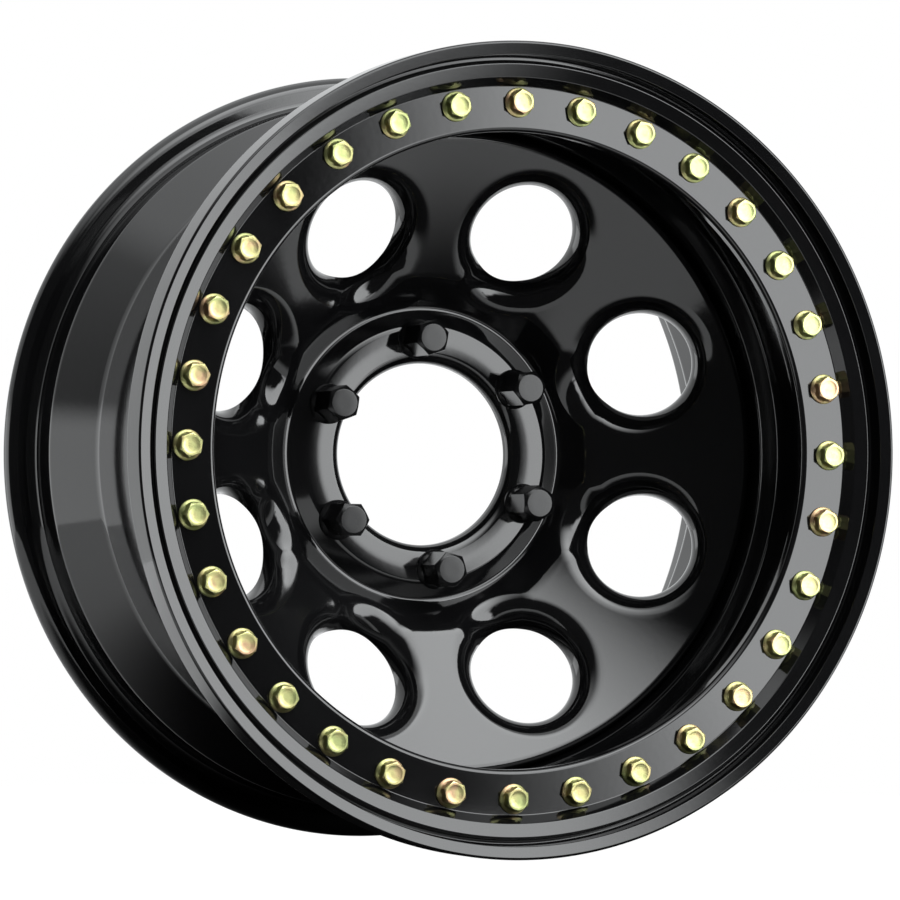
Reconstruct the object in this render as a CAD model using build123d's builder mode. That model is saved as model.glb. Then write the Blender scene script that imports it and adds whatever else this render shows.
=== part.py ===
from build123d import *
from math import cos, radians, sin, tan
import os

os.makedirs("parts", exist_ok=True)

# Steel wheel with a bolted bead clamp. The wheel axis is Y, outboard is -Y, the origin is the wheel centre.
# Sections are drawn in the XY plane, x as the radius and y as the place along the axis.

# Driving sizes of the whole wheel, mm
overall_width = 256.0
back_spacing = 88.9
bead_seat_r = 218.3
lug_circle_r = 69.85
weld_fit = 0.2

front_y = -overall_width / 2
rear_y = overall_width / 2
mount_y = rear_y - back_spacing

# Clamp ring
lip_reach = 18.5
ring_thickness = 8.0
lip_height = 16.6
lip_width = 8.2
crest_width = 4.6
lip_step_width = 1.8
lip_step_drop = 2.8
lip_draft = 0.4
groove_width = 2.6
groove_height = 3.2
groove_slope = 1.4
band_width = 8.2
band_height = 8.6
band_rise = 2.2
rise_width = 4.7
face_width = 26.4
ring_inner_round = 2.8
ring_rear_round = 5.0

face_y = front_y + lip_height
ring_back_y = face_y + ring_thickness
ring_outer_r = bead_seat_r + lip_reach
lip_inner_r = ring_outer_r - lip_width
groove_inner_r = lip_inner_r - groove_width
band_outer_r = groove_inner_r - groove_slope
band_inner_r = band_outer_r - band_width
face_outer_r = band_inner_r - rise_width
ring_inner_r = face_outer_r - face_width

# Clamp bolts
bolt_count = 32
bolt_turn = 0.5
bolt_shank_r = 4.0
bolt_point = 0.8
bolt_hex = 13.0
bolt_head = 8.1
bolt_top_step = 0.4
bolt_chamfer = 1.0
bolt_flange_r = 8.8
bolt_margin = 0.7
bolt_flange_edge = 1.3
bolt_flange_top = 3.1
bolt_reach = 24.0
bolt_hole_gap = 0.5
bolt_dish_r = 4.8
bolt_dish_slope = 1.0
bolt_dish = 0.35
tapped_gap = 0.06
tapped_spare = 3.0

bolt_hole_r = bolt_shank_r + bolt_hole_gap
bolt_circle_r = face_outer_r - bolt_flange_r - bolt_margin
tapped_depth = bolt_reach - ring_thickness + tapped_spare

# Inner ring
pilot_gap = 0.8
tapped_wall = 3.2
pilot_rest = 2.0
shoulder_height = 6.0
shoulder_width = 5.0
sleeve_wall = 4.0
collar_stop = 1.0
collar_overlap = 14.0

pilot_r = bead_seat_r - pilot_gap
inner_ring_r = bolt_circle_r - bolt_shank_r - tapped_wall
shoulder_y = ring_back_y + tapped_depth + pilot_rest
collar_front_y = shoulder_y + collar_stop
inner_ring_back_y = collar_front_y + collar_overlap

# Rim barrel
sheet = 4.2
collar_step = 14.3
collar_length = 34.4
collar_bend = 10.0
well_depth = 20.7
well_ramp = 14.0
well_bend = 10.0
well_to_rear = 67.4
drop_bend = 9.0
hump_to_rear = 36.0
hump_height = 0.7
hump_bend = 4.0
seat_to_rear = 31.0
seat_bend = 3.0
seat_taper = tan(radians(5.0))
flange_width = 9.0
flange_height = 17.3
flange_bend = 6.5
flange_edge_bend = 7.0
valve_hole_r = 5.75
valve_rest = 2.2
ring_weld_leg = 3.5

collar_r = bead_seat_r - collar_step
well_r = bead_seat_r - well_depth
hump_r = bead_seat_r + hump_height
flange_r = bead_seat_r + flange_height
collar_end_y = collar_front_y + collar_length
well_front_y = collar_end_y + well_ramp
well_rear_y = rear_y - well_to_rear
hump_y = rear_y - hump_to_rear
seat_front_y = rear_y - seat_to_rear
flange_y = rear_y - flange_width
valve_y = (inner_ring_back_y + ring_weld_leg + collar_end_y - valve_rest) / 2

# Centre disc
bore_margin = 14.85
bore_round = 8.0
pad_thickness = 11.5
pad_margin = 5.65
pad_bend = 8.0
pad_slope_width = 13.3
valley_drop = 5.6
valley_bend = 3.0
mount_margin = 4.2
mount_bend = 3.0
disc_sheet = 6.2
cone_angle = 27.6
hub_wall = 12.0
hub_rise = 10.85
hub_back_step = 4.0
hub_back_bend = 8.0
cone_blend = 12.0
rim_bend = 8.0
rim_flange_length = 26.0
window_count = 8
window_offset = 10.2
window_margin = 12.5
window_roll_wanted = 12.0
hub_overlap = 5.8
window_lip = 3.0
rear_roll_wanted = 3.5
roll_spare = 0.3

pad_y = mount_y - pad_thickness
valley_y = pad_y + valley_drop
bore_r = lug_circle_r - bore_margin
pad_outer_r = lug_circle_r + pad_margin
valley_r = pad_outer_r + pad_slope_width
mount_outer_r = valley_r + mount_margin
cone_inner_r = mount_outer_r + hub_wall
disc_rim_r = well_r - sheet - weld_fit
window_circle_r = (cone_inner_r + disc_rim_r) / 2 - window_offset
window_r = (disc_rim_r - cone_inner_r) / 2 - window_margin
cone_slope = tan(radians(cone_angle))
cone_drop = disc_sheet / cos(radians(cone_angle))
hub_back_r = cone_inner_r + hub_back_step
cone_front_y = pad_y - hub_rise - (window_circle_r - cone_inner_r) * cone_slope


def cone_y(r):
    """Place along the axis of the disc's conical front at a radius."""
    return cone_front_y - (r - window_circle_r) * cone_slope


# The bend from the cone into the rim flange turns through more than a right angle
bend_tangent = tan(radians(45 + cone_angle / 2))
rim_end_y = cone_y(disc_rim_r) + rim_bend * bend_tangent + rim_flange_length

# Room for a window on the cone, from a little way up the hub wall to the rim bend, on the front and on the back
front_room = (disc_rim_r - window_circle_r) / cos(radians(cone_angle)) - rim_bend * bend_tangent
inner_room = (window_circle_r - cone_inner_r) / cos(radians(cone_angle)) + hub_overlap
rear_shift = disc_sheet * cone_slope
rear_room = (disc_rim_r - disc_sheet - window_circle_r) / cos(radians(cone_angle)) - rear_shift
rear_room = rear_room - (rim_bend - disc_sheet) * bend_tangent
window_roll = min(window_roll_wanted, min(front_room, inner_room) - window_r - roll_spare)
rear_roll = min(rear_roll_wanted, rear_room - window_r - disc_sheet - roll_spare)

# The cone curves forward beside a window, so the rolled lip's tube starts where the sheet is all round it
window_sag = (window_r + disc_sheet) ** 2 * sin(radians(cone_angle)) / (2 * window_circle_r)
tube_start = (disc_sheet - window_sag) / 2

# Wheel nuts
lug_count = 6
lug_turn = 94.8
lug_hole_r = 8.25
seat_r = 12.2
seat_half_angle = 30.0
seat_gap = 0.1
nut_hex = 19.0
nut_height = 27.0
nut_base_r = 10.6
nut_top_r = 8.1
nut_bore_r = 6.3
nut_bore_depth = 24.0
nut_chamfer = 2.6
nut_collar = 1.6
nut_cone_top = 3.2
nut_foot = 0.7

# Planes across the axis, facing outboard
face_plane = Plane.XZ.offset(-face_y)
pad_plane = Plane.XZ.offset(-pad_y)


# Clamp ring: flat bolt face, rising wall, sloping band, groove and raised lip
with BuildPart() as clamp_ring:
    with BuildSketch(Plane.XY):
        with BuildLine():
            FilletPolyline(
                (ring_inner_r, face_y),
                (face_outer_r, face_y),
                (band_inner_r, face_y - band_height + band_rise),
                (band_outer_r, face_y - band_height),
                (groove_inner_r, face_y - groove_height),
                (lip_inner_r, face_y - groove_height),
                (lip_inner_r + lip_draft, front_y + lip_step_drop),
                (lip_inner_r + lip_step_width, front_y + lip_step_drop),
                (ring_outer_r - crest_width, front_y),
                (ring_outer_r, front_y),
                (ring_outer_r, ring_back_y),
                (ring_inner_r, ring_back_y),
                close=True,
                radius=[ring_inner_round, 0.8, 1.2, 1.0, 0.8, 1.0, 0.5, 0.4, 0.8, 0.8, ring_rear_round, 1.0],
            )
        make_face()
    revolve(axis=Axis.Y)
    with Locations(face_plane):
        with PolarLocations(bolt_circle_r, bolt_count, start_angle=90 - bolt_turn):
            Hole(bolt_hole_r)
clamp_ring.part.label = "clamp_ring"
export_step(clamp_ring.part, "parts/clamp_ring.step")


# Inner ring: tapped for the clamp bolts, pilots the tyre bead, sleeves over the barrel's collar
with BuildPart() as inner_ring:
    with BuildSketch(Plane.XY):
        with BuildLine():
            FilletPolyline(
                (inner_ring_r, ring_back_y),
                (pilot_r, ring_back_y),
                (pilot_r, shoulder_y),
                (pilot_r + shoulder_height, shoulder_y),
                (pilot_r + shoulder_height, shoulder_y + shoulder_width),
                (collar_r + sleeve_wall, inner_ring_back_y),
                (collar_r + weld_fit, inner_ring_back_y),
                (collar_r + weld_fit, collar_front_y),
                (inner_ring_r, collar_front_y),
                close=True,
                radius=[1.0, 1.5, 2.0, 1.5, 1.5, 0, 0, 0, 1.5],
            )
        make_face()
    revolve(axis=Axis.Y)
    with Locations(Plane.XZ.offset(-ring_back_y)):
        with PolarLocations(bolt_circle_r, bolt_count, start_angle=90 - bolt_turn):
            Hole(bolt_shank_r + tapped_gap, depth=tapped_depth)
inner_ring.part.label = "inner_ring"
export_step(inner_ring.part, "parts/inner_ring.step")


# Rim barrel: one rolled sheet from the collar through the drop centre and bead seat to the rear flange
with BuildPart() as rim_barrel:
    with BuildSketch(Plane.XY):
        with BuildLine():
            FilletPolyline(
                (collar_r, collar_front_y),
                (collar_r, collar_end_y),
                (well_r, well_front_y),
                (well_r, well_rear_y),
                (hump_r, hump_y),
                (bead_seat_r - (flange_y - seat_front_y) * seat_taper, seat_front_y),
                (bead_seat_r, flange_y),
                (flange_r, flange_y),
                (flange_r, rear_y),
                radius=[collar_bend, well_bend, drop_bend, hump_bend, seat_bend, flange_bend, flange_edge_bend],
            )
            offset(amount=sheet, side=Side.LEFT)
        make_face()
    revolve(axis=Axis.Y)
    with BuildSketch(Plane.YZ):
        with Locations((valve_y, 0)):
            Circle(valve_hole_r)
    extrude(amount=-collar_r - sheet, mode=Mode.SUBTRACT)
rim_barrel.part.label = "rim_barrel"
export_step(rim_barrel.part, "parts/rim_barrel.step")


# Centre disc: hub boss and bowl with eight rolled windows, a rim flange turned inboard and six nut seats
window_planes = []
for k in range(window_count):
    window_turn = (k + 0.5) * 360 / window_count
    outward = Vector(cos(radians(window_turn)), 0, sin(radians(window_turn)))
    centre = outward * window_circle_r + Vector(0, cone_front_y, 0)
    facing = outward * -sin(radians(cone_angle)) + Vector(0, -cos(radians(cone_angle)), 0)
    window_planes.append(Plane(origin=centre, z_dir=facing))

with BuildPart() as centre_disc:
    with BuildSketch(Plane.XY):
        with BuildLine():
            FilletPolyline(
                (bore_r, mount_y),
                (bore_r, pad_y),
                (pad_outer_r, pad_y),
                (valley_r, valley_y),
                (cone_inner_r, cone_y(cone_inner_r)),
                (disc_rim_r, cone_y(disc_rim_r)),
                (disc_rim_r, rim_end_y),
                (disc_rim_r - disc_sheet, rim_end_y),
                (disc_rim_r - disc_sheet, cone_y(disc_rim_r - disc_sheet) + cone_drop),
                (hub_back_r, cone_y(hub_back_r) + cone_drop),
                (mount_outer_r, mount_y),
                close=True,
                radius=[0.8, bore_round, pad_bend, valley_bend, cone_blend]
                + [rim_bend, 1.0, 1.0, rim_bend - disc_sheet, hub_back_bend, mount_bend],
            )
        make_face()
    revolve(axis=Axis.Y)
    with Locations(*[plane.offset(-tube_start) for plane in window_planes]):
        Cylinder(
            window_r + disc_sheet,
            window_roll + window_lip - tube_start,
            align=(Align.CENTER, Align.CENTER, Align.MAX),
        )
    neck_edges = centre_disc.edges(Select.LAST).filter_by(GeomType.BSPLINE)
    fillet(neck_edges, rear_roll)
    with Locations(*[plane.offset(window_r) for plane in window_planes]):
        Cylinder(
            window_r,
            window_r + window_roll + window_lip + 1.0,
            align=(Align.CENTER, Align.CENTER, Align.MAX),
            mode=Mode.SUBTRACT,
        )
    roll_edges = centre_disc.edges(Select.LAST).filter_by(GeomType.BSPLINE)
    fillet(roll_edges, window_roll)
    with Locations(pad_plane):
        with PolarLocations(lug_circle_r, lug_count, start_angle=lug_turn):
            CounterSinkHole(lug_hole_r, seat_r, counter_sink_angle=2 * seat_half_angle)
centre_disc.part.label = "centre_disc"
export_step(centre_disc.part, "parts/centre_disc.step")


# One clamp bolt, head up from the origin: hexagon on a conical flange, shallow dish in the top
with BuildPart() as bolt:
    with BuildSketch(Plane.XY):
        RegularPolygon(bolt_hex / 2, 6, major_radius=False)
    extrude(amount=bolt_head)
    with BuildSketch(Plane.XZ):
        with BuildLine():
            Polyline(
                (0, 0),
                (bolt_flange_r, 0),
                (bolt_flange_r, bolt_head - bolt_chamfer),
                (bolt_hex / 2 - bolt_top_step, bolt_head),
                (0, bolt_head),
                close=True,
            )
        make_face()
    revolve(axis=Axis.Z, mode=Mode.INTERSECT)
    with BuildSketch(Plane.XZ):
        with BuildLine():
            Polyline(
                (0, -bolt_reach),
                (bolt_shank_r - bolt_point, -bolt_reach),
                (bolt_shank_r, -bolt_reach + bolt_point),
                (bolt_shank_r, 0),
                (bolt_flange_r, 0),
                (bolt_flange_r, bolt_flange_edge),
                (bolt_hex / 2, bolt_flange_top),
                (0, bolt_flange_top),
                close=True,
            )
        make_face()
    revolve(axis=Axis.Z)
    with Locations((0, 0, bolt_head)):
        Cone(
            bolt_dish_r - bolt_dish_slope,
            bolt_dish_r,
            bolt_dish,
            align=(Align.CENTER, Align.CENTER, Align.MAX),
            mode=Mode.SUBTRACT,
        )

# Clamp bolts: the whole circle of them on the bolt face
with BuildPart() as clamp_bolts:
    with Locations(face_plane):
        with PolarLocations(bolt_circle_r, bolt_count, start_angle=90 - bolt_turn):
            add(bolt.part)
clamp_bolts.part.label = "clamp_bolts"
export_step(clamp_bolts.part, "parts/clamp_bolts.step")


# One wheel nut on the pad at the origin: hexagon, chamfered flat top, conical seat below, blind bore
nut_seat_r = seat_r - seat_gap / cos(radians(seat_half_angle))
nut_seat_depth = (nut_seat_r - lug_hole_r - nut_foot) / tan(radians(seat_half_angle))
nut_neck_r = nut_seat_r - nut_seat_depth * tan(radians(seat_half_angle))
with BuildPart() as nut:
    with BuildSketch(Plane.XY):
        RegularPolygon(nut_hex / 2, 6, major_radius=False)
    extrude(amount=nut_height)
    with BuildSketch(Plane.XZ):
        with BuildLine():
            Polyline(
                (0, 0),
                (seat_r, 0),
                (seat_r, nut_height - nut_chamfer),
                (nut_top_r, nut_height),
                (0, nut_height),
                close=True,
            )
        make_face()
    revolve(axis=Axis.Z, mode=Mode.INTERSECT)
    with BuildSketch(Plane.XZ):
        with BuildLine():
            Polyline(
                (0, -nut_seat_depth),
                (nut_neck_r, -nut_seat_depth),
                (nut_seat_r, 0),
                (nut_seat_r, nut_collar),
                (nut_base_r, nut_cone_top),
                (0, nut_cone_top),
                close=True,
            )
        make_face()
    revolve(axis=Axis.Z)
    with Locations((0, 0, -nut_seat_depth)):
        Cylinder(
            nut_bore_r,
            nut_bore_depth + nut_seat_depth,
            align=(Align.CENTER, Align.CENTER, Align.MIN),
            mode=Mode.SUBTRACT,
        )

# Wheel nuts: six of them in the conical seats
with BuildPart() as lug_nuts:
    with Locations(pad_plane):
        with PolarLocations(lug_circle_r, lug_count, start_angle=lug_turn):
            add(nut.part)
lug_nuts.part.label = "lug_nuts"
export_step(lug_nuts.part, "parts/lug_nuts.step")


# Weld round the back of the inner ring, onto the collar
with BuildPart() as ring_weld:
    with BuildSketch(Plane.XY):
        with BuildLine():
            Polyline(
                (collar_r + weld_fit, inner_ring_back_y),
                (collar_r + ring_weld_leg, inner_ring_back_y),
                (collar_r + weld_fit, inner_ring_back_y + ring_weld_leg),
                close=True,
            )
        make_face()
    revolve(axis=Axis.Y)
ring_weld.part.label = "ring_weld"
export_step(ring_weld.part, "parts/ring_weld.step")


# Stitch welds along the inboard edge of the disc's rim flange, one between each pair of windows
stitch_arc = 24.0
stitch_leg = 5.5
with BuildPart() as disc_welds:
    for k in range(window_count):
        start = Plane.XY.rotated((0, k * 360 / window_count - stitch_arc / 2, 0))
        with BuildSketch(start):
            with BuildLine():
                Polyline(
                    (disc_rim_r, rim_end_y),
                    (disc_rim_r, rim_end_y + stitch_leg),
                    (disc_rim_r - stitch_leg, rim_end_y),
                    close=True,
                )
            make_face()
        revolve(axis=Axis.Y, revolution_arc=stitch_arc)
disc_welds.part.label = "disc_welds"
export_step(disc_welds.part, "parts/disc_welds.step")
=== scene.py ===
"""Looks of a steel wheel with a bolted bead clamp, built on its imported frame."""

import logging
import math
import random
from dataclasses import dataclass, field
from enum import Enum
from typing import Callable, NamedTuple, Sequence

import bmesh
import bpy
from mathutils import Matrix, Vector

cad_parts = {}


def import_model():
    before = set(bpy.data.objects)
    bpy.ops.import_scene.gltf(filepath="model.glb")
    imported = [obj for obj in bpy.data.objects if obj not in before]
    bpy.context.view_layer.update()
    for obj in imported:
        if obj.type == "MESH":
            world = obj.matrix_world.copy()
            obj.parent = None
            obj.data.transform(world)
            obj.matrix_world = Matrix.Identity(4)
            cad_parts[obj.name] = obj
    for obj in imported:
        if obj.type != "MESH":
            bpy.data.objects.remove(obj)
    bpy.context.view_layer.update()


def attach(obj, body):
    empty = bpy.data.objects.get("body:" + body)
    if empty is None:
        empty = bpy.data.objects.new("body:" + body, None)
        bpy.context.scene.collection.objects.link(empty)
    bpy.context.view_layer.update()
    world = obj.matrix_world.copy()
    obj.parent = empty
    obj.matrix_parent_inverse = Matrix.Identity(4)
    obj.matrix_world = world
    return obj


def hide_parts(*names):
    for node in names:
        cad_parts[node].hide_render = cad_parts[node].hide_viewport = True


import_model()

MM = 0.001
BODY = "root"
AXIS = Vector((0.0, 1.0, 0.0))
WHITE = (1.0, 1.0, 1.0, 1.0)

# The wheel is built in equal shares, each spun in steps
SHARES = 8
SHARE_STEPS = 48
DRILL_STEPS = 48

# Degrees of a rounding that one segment takes, and the fewest segments
BEND_DEGREES = 9.0
BEND_LEAST = 3

# Distances in metres within which vertices merge
SEAM_GAP = 1e-5
HAIR_GAP = 1e-7

Colour = tuple[float, float, float, float]
Loop = list[bmesh.types.BMVert]
Placing = Callable[[int], Vector]

logging.basicConfig(level=logging.INFO, format="%(message)s")
log = logging.getLogger("wheel")


class Corner(NamedTuple):
    """A corner of a turned section: radius and place along the axis in mm, and its rounding."""

    radius: float
    along: float
    round: float = 0.0


class Ray(Enum):
    """Outputs of the Light Path node that the stage reads."""

    CAMERA = "Is Camera Ray"
    GLOSSY = "Is Glossy Ray"
    TRANSMISSION = "Is Transmission Ray"


def at_angle(radius: float, degrees: float, along: float) -> Vector:
    """Gives a point in metres on a circle about the wheel axis.

    Args:
        radius: Distance from the axis in mm.
        degrees: Turn from +X towards +Z.
        along: Place along the axis in mm.

    Returns:
        The point in the row frame.
    """
    turn = math.radians(degrees)
    return Vector((radius * math.cos(turn), along, radius * math.sin(turn))) * MM


def upright(at: Vector, degrees: float) -> Matrix:
    """Places a part built along +Z with its head outboard.

    Args:
        at: Where its origin goes, in metres.
        degrees: Its turn about its own axis.

    Returns:
        The matrix of the place.
    """
    spun = Matrix.Rotation(math.radians(degrees), 4, "Z")
    return Matrix.Translation(at) @ Matrix.Rotation(math.pi / 2.0, 4, "X") @ spun


def seats(count: int, radius: float, turn: float, along: float, seed: int) -> list[Matrix]:
    """Places hexagon parts evenly round the wheel, each turned as it was tightened.

    Args:
        count: How many there are.
        radius: Radius of their circle in mm.
        turn: Turn of the first, in degrees.
        along: Place of their seats along the axis in mm.
        seed: Seed of the draw of their own turns.

    Returns:
        One matrix for each part.
    """
    draw = random.Random(seed)
    return [
        upright(at_angle(radius, turn + 360.0 * k / count, along), draw.uniform(0.0, 60.0))
        for k in range(count)
    ]


class Value:
    """Wraps a shader socket so that arithmetic on it adds Math nodes."""

    def __init__(self, shader: "Shader", socket: bpy.types.NodeSocket) -> None:
        """Keeps the shader that owns the socket."""
        self.shader = shader
        self.socket = socket

    def _math(self, operation: str, first: object, second: object) -> "Value":
        """Adds one Math node and returns its output."""
        return self.shader.node("Math", {"operation": operation}, {0: first, 1: second})

    def __add__(self, other: object) -> "Value":
        """Sum."""
        return self._math("ADD", self, other)

    def __radd__(self, other: object) -> "Value":
        """Sum with the value on the right."""
        return self._math("ADD", other, self)

    def __sub__(self, other: object) -> "Value":
        """Difference."""
        return self._math("SUBTRACT", self, other)

    def __rsub__(self, other: object) -> "Value":
        """Difference with the value on the right."""
        return self._math("SUBTRACT", other, self)

    def __mul__(self, other: object) -> "Value":
        """Product."""
        return self._math("MULTIPLY", self, other)

    def __rmul__(self, other: object) -> "Value":
        """Product with the value on the right."""
        return self._math("MULTIPLY", other, self)

    def most(self, other: object) -> "Value":
        """The larger of two values."""
        return self._math("MAXIMUM", self, other)

    def turn_from(self, other: object) -> "Value":
        """Angle in degrees whose sine is this value and whose cosine is the other."""
        return self._math("ARCTAN2", self, other) * math.degrees(1.0)

    def rise(self) -> "Value":
        """Angle in degrees whose sine is this value."""
        return self._math("ARCSINE", self, 0.0) * math.degrees(1.0)


class Shader:
    """A node tree with one way to add nodes."""

    def __init__(self, tree: bpy.types.NodeTree) -> None:
        """Empties the tree."""
        self.tree = tree
        tree.nodes.clear()

    def node(
        self,
        kind: str,
        settings: dict[str, object],
        inputs: dict[object, object],
        output: object = 0,
    ) -> Value:
        """Adds a node.

        Args:
            kind: Node type without its ShaderNode prefix.
            settings: Attributes set before the sockets; "ramp" holds colour stops.
            inputs: Socket name or index to a number, a tuple or a Value.
            output: Name or index of the socket to give back.

        Returns:
            The chosen output, wrapped.
        """
        made = self.tree.nodes.new("ShaderNode" + kind)
        for name, setting in settings.items():
            if name == "ramp":
                self._ramp(made, setting)
            else:
                setattr(made, name, setting)
        for name, given in inputs.items():
            if isinstance(given, Value):
                self.tree.links.new(given.socket, made.inputs[name])
            else:
                made.inputs[name].default_value = given
        return Value(self, made.outputs[output]) if len(made.outputs) else Value(self, None)

    @staticmethod
    def _ramp(made: bpy.types.Node, stops: Sequence[tuple[float, tuple[float, ...]]]) -> None:
        """Sets the stops of a colour ramp."""
        elements = made.color_ramp.elements
        while len(elements) < len(stops):
            elements.new(0.5)
        for element, (place, colour) in zip(elements, stops):
            element.position = place
            element.color = colour

    def place(self) -> Value:
        """Object coordinates."""
        return self.node("TexCoord", {}, {}, "Object")

    def ray(self, kind: Ray) -> Value:
        """One for a kind of ray, else nought."""
        return self.node("LightPath", {}, {}, kind.value)

    def split(self, vector: Value, axes: str) -> list[Value]:
        """The named axes of a vector."""
        return [self.node("SeparateXYZ", {}, {"Vector": vector}, axis) for axis in axes]

    def noise(self, scale: float, detail: float, rough: float) -> Value:
        """Gives a noise value on Object coordinates.

        Args:
            scale: Cells per metre.
            detail: Octaves of the noise.
            rough: Weight of the finer octaves.

        Returns:
            The noise factor.
        """
        inputs = {"Vector": self.place(), "Scale": scale, "Detail": detail, "Roughness": rough}
        return self.node("TexNoise", {}, inputs, "Fac")

    def share(self, value: Value, start: float, end: float) -> Value:
        """How far a value has come from a start to an end, from nought to one."""
        return self.node("MapRange", {}, {"Value": value, "From Min": start, "From Max": end})

    def step(
        self, value: Value, start: object, end: object, low: float = 0.0, high: float = 1.0
    ) -> Value:
        """Eases from one level to another.

        Args:
            value: What the level follows.
            start: Where it leaves the first level.
            end: Where it reaches the second, before or after the start.
            low: The first level.
            high: The second level.

        Returns:
            The level.
        """
        reach = {"From Min": start, "From Max": end, "To Min": low, "To Max": high}
        return self.node(
            "MapRange", {"interpolation_type": "SMOOTHSTEP"}, {"Value": value, **reach}
        )

    def blend(self, factor: object, first: object, second: object) -> Value:
        """Mixes two colours by a factor."""
        return self.node("Mix", {"data_type": "RGBA"}, {0: factor, 6: first, 7: second}, 2)

    def surface(self, socket: Value) -> None:
        """Links a shader to the material's output."""
        self.node("OutputMaterial", {}, {"Surface": socket})


def bare_material(name: str) -> tuple[bpy.types.Material, Shader]:
    """Makes a material whose node tree is still empty.

    Args:
        name: Name of the material.

    Returns:
        The material and the shader of its tree.
    """
    material = bpy.data.materials.new(name)
    material.use_nodes = True
    return material, Shader(material.node_tree)


@dataclass(frozen=True)
class GlossBlack:
    """Black coating with a faint ripple, dust and small differences of gloss."""

    name: str
    colour: Colour = (0.0022, 0.0022, 0.0024, 1.0)
    dusty: Colour = (0.005, 0.005, 0.0053, 1.0)
    rough: float = 0.06
    ior: float = 1.52
    wear_scale: float = 9.0
    wear_span: tuple[float, float] = (0.35, 0.75)
    wear_shade: float = 0.6
    wear_rough: float = 0.04
    dust_scale: float = 900.0
    dust_span: tuple[float, float] = (0.62, 0.8)
    dust_shade: float = 0.4
    dust_rough: float = 0.08
    ripple: float = 0.012
    ripple_scale: float = 260.0
    ripple_depth: float = 0.0006

    def make(self) -> bpy.types.Material:
        """Builds the material."""
        material, shader = bare_material(self.name)
        wear = shader.share(shader.noise(self.wear_scale, 4.0, 0.6), *self.wear_span)
        dust = shader.share(shader.noise(self.dust_scale, 2.0, 0.6), *self.dust_span)
        peel = shader.noise(self.ripple_scale, 1.0, 0.4)
        shade = wear * self.wear_shade + dust * self.dust_shade
        bump = {"Strength": self.ripple, "Distance": self.ripple_depth, "Height": peel}
        sockets = {
            "Base Color": shader.blend(shade, self.colour, self.dusty),
            "Roughness": wear * self.wear_rough + dust * self.dust_rough + self.rough,
            "IOR": self.ior,
            "Normal": shader.node("Bump", {}, bump),
        }
        shader.surface(shader.node("BsdfPrincipled", {}, sockets))
        return material


@dataclass(frozen=True)
class YellowZinc:
    """Yellow passivated zinc: golden metal with greenish and pinkish clouds."""

    name: str
    cloud_scale: float = 55.0
    clouds: tuple[tuple[float, Colour], ...] = (
        (0.36, (0.34, 0.38, 0.16, 1.0)),
        (0.46, (0.43, 0.43, 0.19, 1.0)),
        (0.54, (0.48, 0.43, 0.20, 1.0)),
        (0.64, (0.50, 0.33, 0.20, 1.0)),
    )
    rough: float = 0.35
    dull: Colour = (0.26, 0.24, 0.09, 1.0)
    dull_shade: float = 0.3
    dull_rough: float = 0.12
    grain: float = 0.12
    grain_scale: float = 700.0
    grain_span: tuple[float, float] = (0.45, 0.75)
    grain_depth: float = 0.0003

    def make(self) -> bpy.types.Material:
        """Builds the material."""
        material, shader = bare_material(self.name)
        cloud = shader.noise(self.cloud_scale, 3.0, 0.6)
        grain = shader.noise(self.grain_scale, 3.0, 0.6)
        gold = shader.node("ValToRGB", {"ramp": self.clouds}, {"Fac": cloud}, "Color")
        worn = shader.share(grain, *self.grain_span)
        bump = {"Strength": self.grain, "Distance": self.grain_depth, "Height": grain}
        sockets = {
            "Base Color": shader.blend(worn * self.dull_shade, gold, self.dull),
            "Roughness": worn * self.dull_rough + self.rough,
            "Metallic": 1.0,
            "Normal": shader.node("Bump", {}, bump),
        }
        shader.surface(shader.node("BsdfPrincipled", {}, sockets))
        return material


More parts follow.
